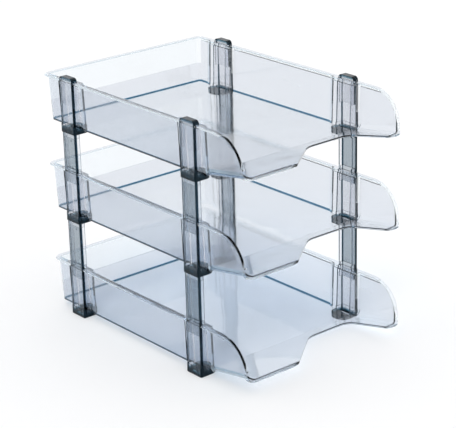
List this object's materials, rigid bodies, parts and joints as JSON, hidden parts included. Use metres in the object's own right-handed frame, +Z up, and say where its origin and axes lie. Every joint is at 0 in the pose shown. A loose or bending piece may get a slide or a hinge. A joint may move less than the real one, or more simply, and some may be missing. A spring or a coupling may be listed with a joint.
{
  "type": "letter tray stack",
  "caption": "Stack of clear moulded letter trays with cut-away fronts, on tinted corner posts made of dished brackets, channel risers and end caps.",
  "frame": {"origin": "on the table, under the middle of the stack's outline", "axes": "+Z up, front (open, cut-away side of the trays) towards -Y, right-hand posts towards +X"},
  "size_m": [0.2664, 0.396, 0.3275],
  "materials": {
    "clear_tray": "clear moulded plastic with a pale blue-grey tint, polished",
    "smoky_post": "clear moulded plastic with a smoky blue-grey tint, polished"
  },
  "bodies": {
    "base": {"tray_bottom": "clear_tray", "foot_front_left": "smoky_post", "foot_front_right": "smoky_post", "foot_back_left": "smoky_post", "foot_back_right": "smoky_post"},
    "middle_tier": {"tray_middle": "clear_tray", "bracket_middle_front_left": "smoky_post", "bracket_middle_front_right": "smoky_post", "bracket_middle_back_left": "smoky_post", "bracket_middle_back_right": "smoky_post", "riser_lower_front_left": "smoky_post", "riser_lower_front_right": "smoky_post", "riser_lower_back_left": "smoky_post", "riser_lower_back_right": "smoky_post"},
    "top_tier": {"tray_top": "clear_tray", "bracket_top_front_left": "smoky_post", "bracket_top_front_right": "smoky_post", "bracket_top_back_left": "smoky_post", "bracket_top_back_right": "smoky_post", "riser_upper_front_left": "smoky_post", "riser_upper_front_right": "smoky_post", "riser_upper_back_left": "smoky_post", "riser_upper_back_right": "smoky_post"},
    "cap_front_left": {"end_cap_front_left": "smoky_post"},
    "cap_front_right": {"end_cap_front_right": "smoky_post"},
    "cap_back_left": {"end_cap_back_left": "smoky_post"},
    "cap_back_right": {"end_cap_back_right": "smoky_post"}
  },
  "joints": [
    {"name": "middle_tier_lift", "type": "slide", "parent": "base", "child": "middle_tier", "axis": [0, 0, 1], "range_m": [0, 0.03]},
    {"name": "top_tier_lift", "type": "slide", "parent": "middle_tier", "child": "top_tier", "axis": [0, 0, 1], "range_m": [0, 0.03]},
    {"name": "cap_lift_front_left", "type": "slide", "parent": "top_tier", "child": "cap_front_left", "axis": [0, 0, 1], "range_m": [0, 0.04]},
    {"name": "cap_lift_front_right", "type": "slide", "parent": "top_tier", "child": "cap_front_right", "axis": [0, 0, 1], "range_m": [0, 0.04]},
    {"name": "cap_lift_back_left", "type": "slide", "parent": "top_tier", "child": "cap_back_left", "axis": [0, 0, 1], "range_m": [0, 0.04]},
    {"name": "cap_lift_back_right", "type": "slide", "parent": "top_tier", "child": "cap_back_right", "axis": [0, 0, 1], "range_m": [0, 0.04]}
  ]
}
